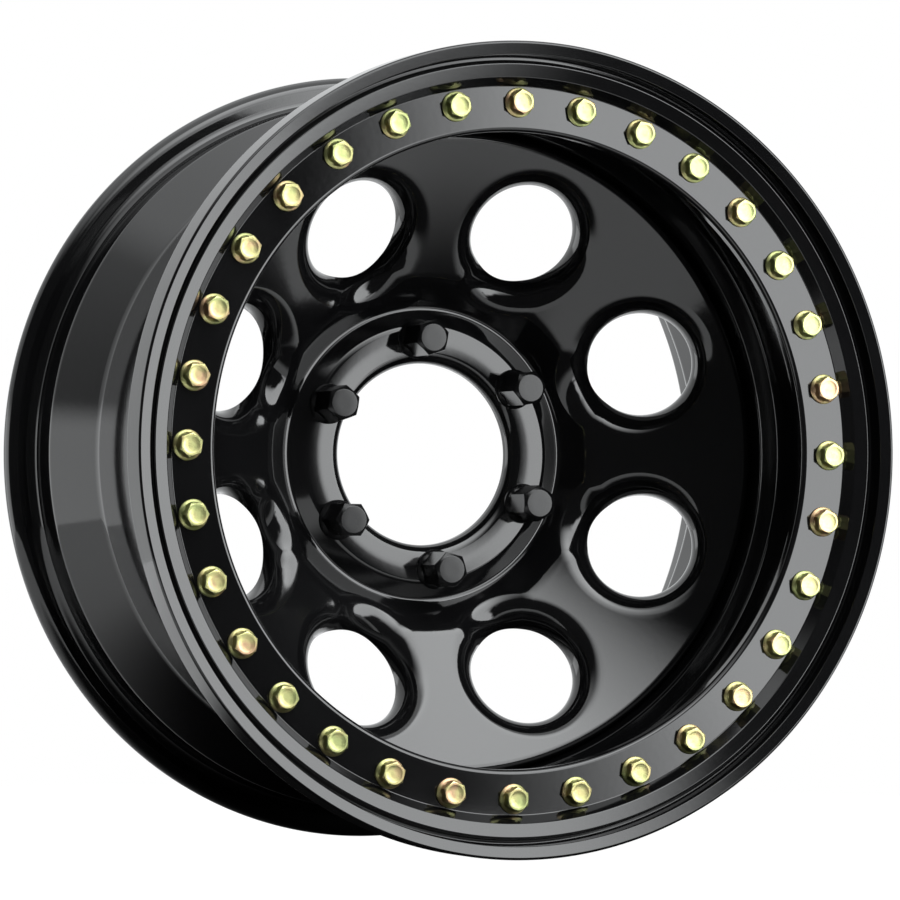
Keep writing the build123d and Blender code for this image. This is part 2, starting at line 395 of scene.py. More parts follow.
class Skin:
    """A mesh under construction and the operators that shape it."""

    def __init__(self) -> None:
        """Starts an empty bmesh."""
        self.bm = bmesh.new()

    def wire(self, corners: Sequence[Corner], closed: bool) -> list[bmesh.types.BMEdge]:
        """Draws a section in the XY plane and rounds its corners.

        Args:
            corners: Corners in order, in mm.
            closed: Whether the last corner joins the first.

        Returns:
            The edges of the section.
        """
        before = set(self.bm.edges)
        verts = [self.bm.verts.new((c.radius * MM, c.along * MM, 0.0)) for c in corners]
        pairs = list(zip(verts, verts[1:])) + ([(verts[-1], verts[0])] if closed else [])
        for pair in pairs:
            self.bm.edges.new(pair)
        count = len(corners)
        for i, (vert, corner) in enumerate(zip(verts, corners)):
            if corner.round <= 0.0:
                continue
            here = Vector(corner[:2])
            into = (here - Vector(corners[i - 1][:2])).normalized()
            out = (Vector(corners[(i + 1) % count][:2]) - here).normalized()
            turn = math.acos(max(-1.0, min(1.0, into.dot(out))))
            bmesh.ops.bevel(
                self.bm,
                geom=[vert],
                offset=corner.round * math.tan(turn / 2.0) * MM,
                offset_type="OFFSET",
                segments=max(BEND_LEAST, round(math.degrees(turn) / BEND_DEGREES)),
                profile=0.5,
                affect="VERTICES",
                material=-1,
            )
        return [edge for edge in self.bm.edges if edge not in before]

    def turn(self, corners: Sequence[Corner], closed: bool) -> None:
        """Spins a section through one of the eight equal shares of the wheel.

        Args:
            corners: Corners of the section, in mm.
            closed: Whether the section is a closed loop.
        """
        edges = self.wire(corners, closed)
        verts = list(dict.fromkeys(vert for edge in edges for vert in edge.verts))
        bmesh.ops.spin(
            self.bm,
            geom=verts + edges,
            cent=(0.0, 0.0, 0.0),
            axis=-AXIS,
            angle=math.tau / SHARES,
            steps=SHARE_STEPS,
            use_merge=False,
            use_duplicate=False,
        )

    def repeat(self, places: Sequence[Matrix]) -> None:
        """Puts a copy of what is built so far at each place.

        Args:
            places: One matrix for each copy.
        """
        one = self.mesh("one")
        self.bm = bmesh.new()
        for place in places:
            held = len(self.bm.verts)
            self.bm.from_mesh(one)
            self.bm.verts.ensure_lookup_table()
            bmesh.ops.transform(self.bm, matrix=place, verts=self.bm.verts[held:])
        bpy.data.meshes.remove(one)

    def all_round(self) -> None:
        """Repeats one share of the wheel all round and merges the seams."""
        self.repeat([Matrix.Rotation(math.tau * k / SHARES, 4, AXIS) for k in range(SHARES)])
        self.weld(SEAM_GAP)

    @classmethod
    def turned(cls, corners: Sequence[Corner], closed: bool) -> "Skin":
        """Spins a section all round the wheel.

        Args:
            corners: Corners of the section, in mm.
            closed: Whether the section is a closed loop.

        Returns:
            The new skin.
        """
        skin = cls()
        skin.turn(corners, closed)
        skin.all_round()
        return skin

    def ring(self, count: int, place: Placing) -> Loop:
        """Starts a closed loop of vertices.

        Args:
            count: Vertices in the loop.
            place: Position of each vertex in metres.

        Returns:
            The vertices in order.
        """
        verts = bmesh.ops.create_circle(self.bm, segments=count, radius=MM)["verts"]
        verts.sort(key=lambda vert: math.atan2(vert.co.y, vert.co.x) % math.tau)
        for i, vert in enumerate(verts):
            vert.co = place(i)
        return verts

    def grow(self, loop: Loop, place: Placing) -> Loop:
        """Extrudes a loop and puts the new one in its place.

        Args:
            loop: The last loop of vertices.
            place: Position of each new vertex in metres.

        Returns:
            The new loop, in the same order.
        """
        members = set(loop)
        edges = dict.fromkeys(
            edge
            for vert in loop
            for edge in vert.link_edges
            if edge.other_vert(vert) in members
        )
        made = bmesh.ops.extrude_edge_only(self.bm, edges=list(edges))["geom"]
        fresh = {item for item in made if isinstance(item, bmesh.types.BMVert)}
        after = []
        for i, vert in enumerate(loop):
            ends = (edge.other_vert(vert) for edge in vert.link_edges)
            twin = next(end for end in ends if end in fresh)
            twin.co = place(i)
            after.append(twin)
        return after

    def cap(self, loop: Loop) -> None:
        """Closes a loop with one face."""
        self.bm.faces.new(loop)

    def weld(self, distance: float) -> None:
        """Merges doubles and turns the faces outwards."""
        bmesh.ops.remove_doubles(self.bm, verts=self.bm.verts[:], dist=distance)
        bmesh.ops.recalc_face_normals(self.bm, faces=self.bm.faces[:])

    def mesh(self, name: str) -> bpy.types.Mesh:
        """Writes the bmesh to a new mesh and frees it."""
        mesh = bpy.data.meshes.new(name)
        self.bm.to_mesh(mesh)
        self.bm.free()
        return mesh


@dataclass
class Bench:
    """Puts finished meshes into the scene as pieces of the wheel."""

    made: list[str] = field(default_factory=list)

    def piece(
        self,
        name: str,
        mesh: bpy.types.Mesh,
        material: bpy.types.Material,
        node: str,
        slot: str,
        crease: float = 40.0,
    ) -> None:
        """Adds one piece, rides it on the wheel and lets it stand for its node.

        Args:
            name: Name of the piece.
            mesh: Its mesh, in place in the row frame.
            material: Its finish.
            node: Node of the frame it stands for.
            slot: Material slot of the record; not used.
            crease: Angle in degrees above which an edge stays sharp.
        """
        piece = bpy.data.objects.new(name, mesh)
        bpy.context.scene.collection.objects.link(piece)
        mesh.polygons.foreach_set("use_smooth", [True] * len(mesh.polygons))
        mesh.set_sharp_from_angle(angle=math.radians(crease))
        mesh.materials.clear()
        mesh.materials.append(material)
        weighted = piece.modifiers.new("even_normals", "WEIGHTED_NORMAL")
        weighted.keep_sharp = True
        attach(piece, BODY)
        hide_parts(node)
        self.made.append(name)
        log.info("%s: %d faces", name, len(mesh.polygons))

    @staticmethod
    def cut(mesh: bpy.types.Mesh, cutter: bpy.types.Mesh) -> bpy.types.Mesh:
        """Cuts one mesh out of another.

        Args:
            mesh: The mesh that is cut.
            cutter: The closed mesh of what is removed.

        Returns:
            The new mesh.
        """
        body = bpy.data.objects.new("cut_body", mesh)
        tool = bpy.data.objects.new("cut_tool", cutter)
        for item in (body, tool):
            bpy.context.scene.collection.objects.link(item)
        boolean = body.modifiers.new("cut", "BOOLEAN")
        boolean.operation = "DIFFERENCE"
        boolean.solver = "EXACT"
        boolean.object = tool
        graph = bpy.context.evaluated_depsgraph_get()
        result = bpy.data.meshes.new_from_object(body.evaluated_get(graph))
        result.name = mesh.name
        for item in (body, tool):
            bpy.data.objects.remove(item)
        return result


@dataclass
class ClampRing:
    """The bolted outer ring: flat face, rising wall, sloping band, groove and raised lip."""

    outer_r: float = 236.8
    inner_r: float = 185.3
    front: float = -128.0
    face: float = -111.4
    back: float = -103.4
    face_outer_r: float = 211.7
    band_inner_r: float = 216.4
    band_inner_rise: float = 6.4
    band_outer_r: float = 224.6
    band_outer_rise: float = 8.6
    groove_inner_r: float = 226.0
    groove_rise: float = 3.2
    lip_inner_r: float = 228.6
    lip_draft: float = 0.5
    lip_lean: float = 1.9
    lip_crest: float = 1.2
    lip_shoulder: float = 0.8

    def corners(self) -> list[Corner]:
        """Gives the section of the ring."""
        groove = self.face - self.groove_rise
        return [
            Corner(self.inner_r, self.face, 2.8),
            Corner(self.face_outer_r, self.face, 0.8),
            Corner(self.band_inner_r, self.face - self.band_inner_rise, 1.2),
            Corner(self.band_outer_r, self.face - self.band_outer_rise, 1.0),
            Corner(self.groove_inner_r, groove, 0.8),
            Corner(self.lip_inner_r, groove, 1.0),
            Corner(self.lip_inner_r + self.lip_draft, self.front + self.lip_lean, 0.6),
            Corner(self.outer_r - self.lip_crest, self.front, 1.0),
            Corner(self.outer_r, self.front + self.lip_shoulder, 0.8),
            Corner(self.outer_r, self.back, 5.0),
            Corner(self.inner_r, self.back, 1.0),
        ]

    def build(self, bench: Bench, finish: GlossBlack) -> None:
        """Spins the section and dresses it."""
        name = "clamp_ring_gloss"
        mesh = Skin.turned(self.corners(), True).mesh(name)
        bench.piece(name, mesh, finish.make(), "clamp_ring", "ring_black")


@dataclass
class InnerRing:
    """The ring welded on the barrel's outboard end, behind the clamp ring."""

    bore_r: float = 195.0
    pilot_r: float = 217.5
    shoulder_r: float = 223.5
    front: float = -103.4
    shoulder: float = -82.4
    seat: float = -81.4
    back: float = -67.4
    sleeve_r: float = 204.2
    sleeve_wall: float = 3.8
    shoulder_width: float = 5.0

    def corners(self) -> list[Corner]:
        """Gives the section of the ring."""
        return [
            Corner(self.bore_r, self.front, 1.0),
            Corner(self.pilot_r, self.front, 1.5),
            Corner(self.pilot_r, self.shoulder, 2.0),
            Corner(self.shoulder_r, self.shoulder, 1.5),
            Corner(self.shoulder_r, self.shoulder + self.shoulder_width, 1.5),
            Corner(self.sleeve_r + self.sleeve_wall, self.back),
            Corner(self.sleeve_r, self.back),
            Corner(self.sleeve_r, self.seat),
            Corner(self.bore_r, self.seat, 1.5),
        ]

    def build(self, bench: Bench, finish: GlossBlack) -> None:
        """Spins the section and dresses it."""
        name = "inner_ring_gloss"
        mesh = Skin.turned(self.corners(), True).mesh(name)
        bench.piece(name, mesh, finish.make(), "inner_ring", "barrel_black")


@dataclass
class RimBarrel:
    """The rolled barrel with collar, drop centre, hump, bead seat and rear flange."""

    sheet: float = 4.2
    collar_r: float = 204.0
    well_r: float = 197.6
    seat_r: float = 218.3
    flange_r: float = 235.6
    collar_front: float = -81.4
    collar_end: float = -47.0
    well_front: float = -33.0
    well_rear: float = 60.6
    hump: float = 92.0
    hump_rise: float = 0.7
    seat_taper: float = 5.0
    seat_front: float = 97.0
    flange: float = 119.0
    rear: float = 128.0
    rear_round: float = 1.2
    valve_r: float = 5.75
    valve_along: float = -56.55
    valve_drill: float = 30.0

    def corners(self) -> list[Corner]:
        """Gives the outer line of the sheet, front to back."""
        taper = (self.flange - self.seat_front) * math.tan(math.radians(self.seat_taper))
        return [
            Corner(self.collar_r, self.collar_front),
            Corner(self.collar_r, self.collar_end, 10.0),
            Corner(self.well_r, self.well_front, 10.0),
            Corner(self.well_r, self.well_rear, 9.0),
            Corner(self.seat_r + self.hump_rise, self.hump, 4.0),
            Corner(self.seat_r - taper, self.seat_front, 3.0),
            Corner(self.seat_r, self.flange, 6.5),
            Corner(self.flange_r, self.flange, 7.0),
            Corner(self.flange_r, self.rear),
        ]

    def build(self, bench: Bench, finish: GlossBlack) -> None:
        """Spins the line, gives it its thickness, drills the valve hole and dresses it."""
        name = "rim_barrel_gloss"
        skin = Skin.turned(self.corners(), False)
        bm = skin.bm
        probe = max(bm.faces, key=lambda face: face.calc_center_median().x)
        if probe.normal.x < 0.0:
            bmesh.ops.reverse_faces(bm, faces=bm.faces[:])
        bmesh.ops.solidify(bm, geom=bm.faces[:], thickness=self.sheet * MM)
        skin.weld(HAIR_GAP)
        sharp, rear = 1.0, (self.rear - 0.5) * MM
        rims = [
            edge
            for edge in bm.edges
            if edge.calc_face_angle(0.0) > sharp and edge.verts[0].co.y > rear
        ]
        bmesh.ops.bevel(
            bm,
            geom=rims,
            offset=self.rear_round * MM,
            offset_type="OFFSET",
            segments=4,
            profile=0.5,
            affect="EDGES",
            material=-1,
        )
        drill = Skin()
        at = Matrix.Translation((-self.collar_r * MM, self.valve_along * MM, 0.0))
        bmesh.ops.create_cone(
            drill.bm,
            cap_ends=True,
            segments=DRILL_STEPS,
            radius1=self.valve_r * MM,
            radius2=self.valve_r * MM,
            depth=self.valve_drill * MM,
            matrix=at @ Matrix.Rotation(math.pi / 2.0, 4, "Y"),
        )
        mesh = bench.cut(skin.mesh(name), drill.mesh("valve_drill"))
        bench.piece(name, mesh, finish.make(), "rim_barrel", "barrel_black")


@dataclass
class BentLine:
    """One side of the disc in section: hub wall and cone joined by a bend, in mm and degrees."""

    corner: Vector
    wall: float
    cone: float
    bend: float

    def square(self, tilt: float) -> Vector:
        """Direction straight into the sheet from the front, at a tilt in degrees."""
        return Vector((math.sin(math.radians(tilt)), math.cos(math.radians(tilt))))

    def behind(self, depth: float) -> Vector:
        """The corner moved back by a depth square to both lines."""
        first, second = self.square(self.wall), self.square(self.cone)
        return self.corner + (first + second) * (depth / (1.0 + first.dot(second)))

    def moved(self, depth: float) -> "BentLine":
        """The line moved back by a depth square to itself."""
        return BentLine(self.behind(depth), self.wall, self.cone, self.bend - depth)

    def tilt(self, radius: float) -> float:
        """Tilt of the line at a radius, in degrees."""
        middle = self.behind(self.bend)
        sine = (middle.x - radius) / max(self.bend, 1e-6)
        low, high = self.square(self.cone).x, self.square(self.wall).x
        return math.degrees(math.asin(max(low, min(high, sine))))

    def along(self, radius: float) -> float:
        """Place along the axis at a radius."""
        tilt = self.tilt(radius)
        touch = self.behind(self.bend) - self.square(tilt) * self.bend
        return touch.y - (radius - touch.x) * math.tan(math.radians(tilt))


@dataclass
class CentreDisc:
    """The stamped bowl with rolled windows, hub boss and rim flange."""

    mount: float = 39.1
    bore_r: float = 55.0
    pad: float = 27.6
    pad_r: float = 77.5
    pad_fall: float = 0.2
    crown_r: float = 68.5
    crown_fall: float = 0.9
    valley_r: float = 88.8
    valley: float = 33.2
    mount_r: float = 93.0
    sheet: float = 6.2
    angle: float = 27.6
    cone_r: float = 105.0
    cone_bend: float = 26.0
    back_r: float = 109.0
    back_bend: float = 8.0
    rim_r: float = 193.2
    rim_end: float = 9.85
    rim_bend: float = 8.0
    windows: int = SHARES
    window_circle_r: float = 138.9
    window_place: float = -0.972
    window_r: float = 31.6
    roll: float = 16.0
    collar: float = 15.0
    neck: float = 3.5
    front_inner_r: float = 92.6
    front_outer_r: float = 186.0
    rear_inner_r: float = 99.0
    rear_outer_r: float = 184.2
    lugs: int = 6
    lug_circle_r: float = 69.85
    lug_turn: float = 94.8
    lug_r: float = 8.25
    seat_r: float = 12.2
    seat_angle: float = 30.0
    drill_front: float = 3.0
    drill_back: float = 5.0
    arc_steps: int = SHARE_STEPS
    side_steps: int = 32
    hub_steps: int = 16
    hub_zone: float = 19.0
    roll_steps: int = 14
    neck_steps: int = 6
    front_rows: int = 12
    back_rows: int = 4

    def cone(self, radius: float) -> float:
        """Place along the axis of the front of the cone at a radius, in mm."""
        out = radius - self.window_circle_r
        return self.window_place - out * math.tan(math.radians(self.angle))

    @property
    def drop(self) -> float:
        """Depth of the back of the sheet behind its front, along the axis."""
        return self.sheet / math.cos(math.radians(self.angle))

    @property
    def front(self) -> BentLine:
        """The front of the disc from the hub wall to the cone."""
        corner = Vector((self.cone_r, self.cone(self.cone_r)))
        wall = math.degrees(math.atan2(self.valley - corner.y, corner.x - self.valley_r))
        return BentLine(corner, wall, self.angle, self.cone_bend)

    @property
    def rear(self) -> BentLine:
        """The back of the disc from the hub wall to the cone."""
        corner = Vector((self.back_r, self.cone(self.back_r) + self.drop))
        wall = math.degrees(math.atan2(self.mount - corner.y, corner.x - self.mount_r))
        return BentLine(corner, wall, self.angle, self.back_bend)

    def hub_line(self) -> list[Corner]:
        """Gives the open section round the hub, front wall to back wall."""
        return [
            Corner(self.front_inner_r, self.front.along(self.front_inner_r)),
            Corner(self.valley_r, self.valley, 3.0),
            Corner(self.pad_r, self.pad + self.pad_fall, 8.0),
            Corner(self.crown_r, self.pad, 60.0),
            Corner(self.bore_r, self.pad + self.crown_fall, 7.5),
            Corner(self.bore_r, self.mount, 0.8),
            Corner(self.mount_r, self.mount, 3.0),
            Corner(self.rear_inner_r, self.rear.along(self.rear_inner_r)),
        ]

    def rim_line(self) -> list[Corner]:
        """Gives the open section round the rim flange, front of the cone to its back."""
        inner = self.rim_r - self.sheet
        return [
            Corner(self.front_outer_r, self.cone(self.front_outer_r)),
            Corner(self.rim_r, self.cone(self.rim_r), self.rim_bend),
            Corner(self.rim_r, self.rim_end, 1.0),
            Corner(inner, self.rim_end, 1.0),
            Corner(inner, self.cone(inner) + self.drop, self.rim_bend - self.sheet),
            Corner(self.rear_outer_r, self.cone(self.rear_outer_r) + self.drop),
        ]

    def outline(self, inner_r: float, outer_r: float, index: int) -> tuple[float, float]:
        """Gives a point of a window's share of the disc, seen along the axis.

        Args:
            inner_r: Radius of the inner arc in mm.
            outer_r: Radius of the outer arc in mm.
            index: Number of the point, from the start of the outer arc.

        Returns:
            Radius in mm and turn in radians from the window's own middle line.
        """
        half = math.pi / self.windows
        arc, side = self.arc_steps, self.side_steps

        def seam(step: int) -> float:
            """Radius of a point of the straight side, closer together by the hub."""
            if step < self.hub_steps:
                return inner_r + self.hub_zone * step / self.hub_steps
            near = inner_r + self.hub_zone
            return near + (outer_r - near) * (step - self.hub_steps) / (side - self.hub_steps)

        if index < arc:
            return outer_r, -half + 2.0 * half * index / arc
        if index < arc + side:
            return seam(side - (index - arc)), half
        if index < 2 * arc + side:
            return inner_r, half - 2.0 * half * (index - arc - side) / arc
        return seam(index - 2 * arc - side), -half

    def heading(self, index: int) -> float:
        """Direction of an outline point from the window's middle, in radians."""
        radius, spot = self.outline(self.front_inner_r, self.front_outer_r, index)
        along = radius * math.cos(spot) - self.window_circle_r
        along /= math.cos(math.radians(self.angle))
        return math.atan2(radius * math.sin(spot), along)

    def from_axis(self, reach: float, way: float, depth: float) -> Vector:
        """Gives a point about the window's own axis.

        Args:
            reach: Distance from that axis in mm.
            way: Direction round it in radians, nought outwards.
            depth: Depth behind the cone's front at the window's middle.

        Returns:
            Radial, axial and sideways place in mm, for a window on the middle line.
        """
        slope = math.radians(self.angle)
        along, across = reach * math.cos(way), reach * math.sin(way)
        radial = self.window_circle_r + along * math.cos(slope) + depth * math.sin(slope)
        axial = self.window_place - along * math.sin(slope) + depth * math.cos(slope)
        return Vector((radial, axial, across))

    def ball(
        self, line: BentLine, reach: float, radius: float, way: float
    ) -> tuple[Vector, Vector]:
        """Rests a ball behind a side of the disc, at a distance from the window's axis.

        Args:
            line: The side of the disc.
            reach: Distance of the ball's middle from the window's axis.
            radius: Its radius.
            way: Direction round the window's axis.

        Returns:
            The ball's middle and the direction from there to where it touches the side.
        """
        under = line.moved(radius)
        depth = radius
        rounds = 12
        for _ in range(rounds):
            middle = self.from_axis(reach, way, depth)
            over = middle.y - under.along(math.hypot(middle.x, middle.z))
            depth -= over * math.cos(math.radians(self.angle))
        middle = self.from_axis(reach, way, depth)
        inward = line.square(under.tilt(math.hypot(middle.x, middle.z)))
        spot = math.atan2(middle.z, middle.x)
        return middle, -Vector((inward.x * math.cos(spot), inward.y, inward.x * math.sin(spot)))

    def edge(self, index: int) -> list[Vector]:
        """Gives the rolled edge in one direction, from the front of the disc to its back.

        Args:
            index: Number of the outline point it heads for.

        Returns:
            Places in mm, for a window on the middle line.
        """
        way = self.heading(index)
        start = self.from_axis(0.0, way, 0.0)
        inside = (start - self.from_axis(1.0, way, 0.0)).normalized()
        down = self.from_axis(0.0, way, 1.0) - start
        middle, touch = self.ball(self.front, self.window_r + self.roll, self.roll, way)
        deep = (middle - start).dot(down)
        small, wide = 0.15, 0.5
        over = math.asin(max(0.0, deep - self.collar + wide) / self.roll)
        last = inside * math.cos(over) - down * math.sin(over)
        steps = self.roll_steps
        front = [middle + touch.slerp(last, i / steps) * self.roll for i in range(steps + 1)]
        end = self.collar
        brim = self.window_r + self.roll * (1.0 - math.cos(over))
        outer = self.window_r + self.sheet
        tip = [
            self.from_axis(reach, way, depth)
            for reach, depth in (
                (brim, end - 0.4),
                (brim + small, end - small),
                (brim + wide, end),
                (outer - wide, end),
                (outer - small, end - small),
                (outer, end - wide),
            )
        ]
        middle, touch = self.ball(self.rear, outer + self.neck, self.neck, way)
        steps = self.neck_steps
        back = [middle + inside.slerp(touch, i / steps) * self.neck for i in range(steps + 1)]
        return front + tip + back

    def window(self, skin: Skin, turn: float) -> None:
        """Adds one window with its share of the disc, front and back.

        Args:
            skin: The disc's skin.
            turn: Turn of the window's middle line, in radians.
        """
        count = 2 * (self.arc_steps + self.side_steps)
        edges = [self.edge(index) for index in range(count)]

        def world(place: Vector) -> Vector:
            """Turns a place to the window's own line, in metres."""
            reach = math.hypot(place.x, place.z)
            spot = math.atan2(place.z, place.x) + turn
            return Vector((reach * math.cos(spot), place.y, reach * math.sin(spot))) * MM

        def panel(
            line: BentLine, near: Vector, far: tuple[float, float], part: float
        ) -> Vector:
            """Place on a side of the disc, a part of the way from the rolled edge outwards."""
            radius, spot = far
            radial = near.x + (radius * math.cos(spot) - near.x) * part
            across = near.z + (radius * math.sin(spot) - near.z) * part
            return world(Vector((radial, line.along(math.hypot(radial, across)), across)))

        def face(index: int, part: float) -> Vector:
            """Place on the front of the share."""
            far = self.outline(self.front_inner_r, self.front_outer_r, index)
            return panel(self.front, edges[index][0], far, part)

        def back(index: int, part: float) -> Vector:
            """Place on the back of the share."""
            far = self.outline(self.rear_inner_r, self.rear_outer_r, index)
            return panel(self.rear, edges[index][-1], far, part)

        loop = skin.ring(count, lambda i: face(i, 1.0))
        for row in range(self.front_rows - 1, 0, -1):
            loop = skin.grow(loop, lambda i: face(i, row / self.front_rows))
        for piece in range(len(edges[0])):
            loop = skin.grow(loop, lambda i: world(edges[i][piece]))
        for row in range(1, self.back_rows + 1):
            loop = skin.grow(loop, lambda i: back(i, row / self.back_rows))

    def drills(self) -> bpy.types.Mesh:
        """Makes the nut holes with their conical seats as one closed cutter."""
        drill = Skin()
        deep = (self.seat_r - self.lug_r) / math.tan(math.radians(self.seat_angle))
        loops = [
            (self.lug_r, self.mount + self.drill_back),
            (self.lug_r, self.pad + deep),
            (self.seat_r, self.pad),
            (self.seat_r, self.pad - self.drill_front),
        ]
        turns = [math.tau * i / DRILL_STEPS for i in range(DRILL_STEPS)]
        circle = [Vector((math.cos(turn), 0.0, math.sin(turn))) for turn in turns]
        for k in range(self.lugs):
            spot = at_angle(self.lug_circle_r, self.lug_turn + 360.0 * k / self.lugs, 0.0)

            def place(i: int, reach: float, along: float) -> Vector:
                """A point of a loop about the hole's own axis."""
                return spot + (circle[i] * reach + AXIS * along) * MM

            loop = drill.ring(DRILL_STEPS, lambda i: place(i, *loops[0]))
            drill.cap(loop)
            for level in loops[1:]:
                loop = drill.grow(loop, lambda i: place(i, *level))
            drill.cap(loop)
        drill.weld(HAIR_GAP)
        return drill.mesh("seat_drills")

    def build(self, bench: Bench, finish: GlossBlack) -> None:
        """Joins hub, rim and windows, drills the nut seats and dresses the disc."""
        name = "centre_disc_gloss"
        skin = Skin()
        skin.turn(self.hub_line(), False)
        skin.turn(self.rim_line(), False)
        self.window(skin, math.pi / self.windows)
        skin.all_round()
        mesh = bench.cut(skin.mesh(name), self.drills())
        bench.piece(name, mesh, finish.make(), "centre_disc", "disc_black")


@dataclass
class HexPart:
    """A hexagon-headed part built upright at the origin from loops, in mm."""

    hexagon: float
    base: float
    top_r: float
    top: float
    slant: float
    side_points: int = 8
    edge_drop: float = 0.35
    edge_inset: float = 0.3

    @property
    def points(self) -> int:
        """Points of a loop."""
        return 6 * self.side_points

    def reach(self, index: int) -> float:
        """Distance from the axis to the hexagon at a point of a loop."""
        step = math.tau / self.points
        turn = (index * step + math.pi / 6.0) % (math.pi / 3.0) - math.pi / 6.0
        return self.hexagon / 2.0 / math.cos(turn)

    def chamfer(self, reach: float) -> float:
        """Height of the sloping top edge at a distance from the axis."""
        return self.top - (reach - self.top_r) * self.slant

    def spot(self, index: int, reach: float, height: float) -> Vector:
        """A point of a loop in metres, upright along +Z."""
        turn = index * math.tau / self.points
        return Vector((reach * math.cos(turn), reach * math.sin(turn), height)) * MM

    def model(
        self, below: Sequence[tuple[float, float]], above: Sequence[tuple[float, float]]
    ) -> Skin:
        """Raises the hexagon on round loops, slopes its top edge and closes the top.

        Args:
            below: Radius and height of the round loops below the hexagon.
            above: Radius and height of the round loops on its top.

        Returns:
            The skin of one part.
        """
        skin = Skin()
        loop = skin.ring(self.points, lambda i: self.spot(i, *below[0]))
        skin.cap(list(reversed(loop)))
        for level in below[1:]:
            loop = skin.grow(loop, lambda i: self.spot(i, *level))
        loop = skin.grow(loop, lambda i: self.spot(i, self.reach(i), self.base))

        def outer(i: int) -> Vector:
            """A point where a side ends below the sloping edge."""
            return self.spot(i, self.reach(i), self.chamfer(self.reach(i)) - self.edge_drop)

        def inner(i: int) -> Vector:
            """A point where the sloping edge starts."""
            reach = self.reach(i) - self.edge_inset
            return self.spot(i, reach, self.chamfer(reach))

        loop = skin.grow(loop, outer)
        loop = skin.grow(loop, inner)
        for level in ((self.top_r, self.top), *above):
            loop = skin.grow(loop, lambda i: self.spot(i, *level))
        skin.cap(loop)
        skin.weld(HAIR_GAP)
        return skin


@dataclass
class ClampBolts:
    """The circle of flanged hexagon bolts on the clamp ring."""

    count: int = 32
    circle_r: float = 202.2
    face: float = -111.4
    turn: float = 89.5
    seed: int = 32
    crease: float = 24.0
    head: HexPart = field(
        default_factory=lambda: HexPart(13.0, 2.9, 6.05, 8.1, math.tan(math.radians(28.0)))
    )

    def one(self) -> Skin:
        """Models one bolt upright at the origin: shank, flange and dished head."""
        shank = [(3.2, -24.0), (4.0, -23.2), (4.0, -0.02)]
        flange = [(8.5, -0.02), (8.8, 0.25), (8.8, 0.95), (8.45, 1.35), (7.75, 1.7), (7.2, 2.1)]
        dish = [(5.1, 8.1), (4.8, 8.05), (3.9, 7.78), (1.8, 7.72)]
        return self.head.model(shank + flange, dish)

    def build(self, bench: Bench, finish: YellowZinc) -> None:
        """Sets the bolts round the ring."""
        name = "clamp_bolts_zinc"
        skin = self.one()
        skin.repeat(seats(self.count, self.circle_r, self.turn, self.face, self.seed))
        mesh = skin.mesh(name)
        bench.piece(name, mesh, finish.make(), "clamp_bolts", "yellow_zinc", self.crease)


@dataclass
class LugNuts:
    """The closed wheel nuts in the hub's conical seats."""

    count: int = 6
    circle_r: float = 69.85
    turn: float = 94.8
    pad: float = 27.6
    seed: int = 6
    crease: float = 24.0
    head: HexPart = field(default_factory=lambda: HexPart(19.0, 3.4, 8.4, 26.75, 0.634))

    def one(self) -> Skin:
        """Models one nut upright at the origin: blind bore, cone, collar and top."""
        bore = [(6.3, 21.0), (6.3, -5.4)]
        cone = [(8.95, -5.42), (12.08, 0.0)]
        collar = [(12.08, 1.4), (11.8, 1.75), (10.9, 2.6)]
        top = [(8.15, 26.92), (7.8, 27.0), (4.0, 27.0)]
        return self.head.model(bore + cone + collar, top)

    def build(self, bench: Bench, finish: GlossBlack) -> None:
        """Sets the nuts on their circle."""
        name = "lug_nuts_black"
        skin = self.one()
        skin.repeat(seats(self.count, self.circle_r, self.turn, self.pad, self.seed))
        mesh = skin.mesh(name)
        bench.piece(name, mesh, finish.make(), "lug_nuts", "nut_black", self.crease)


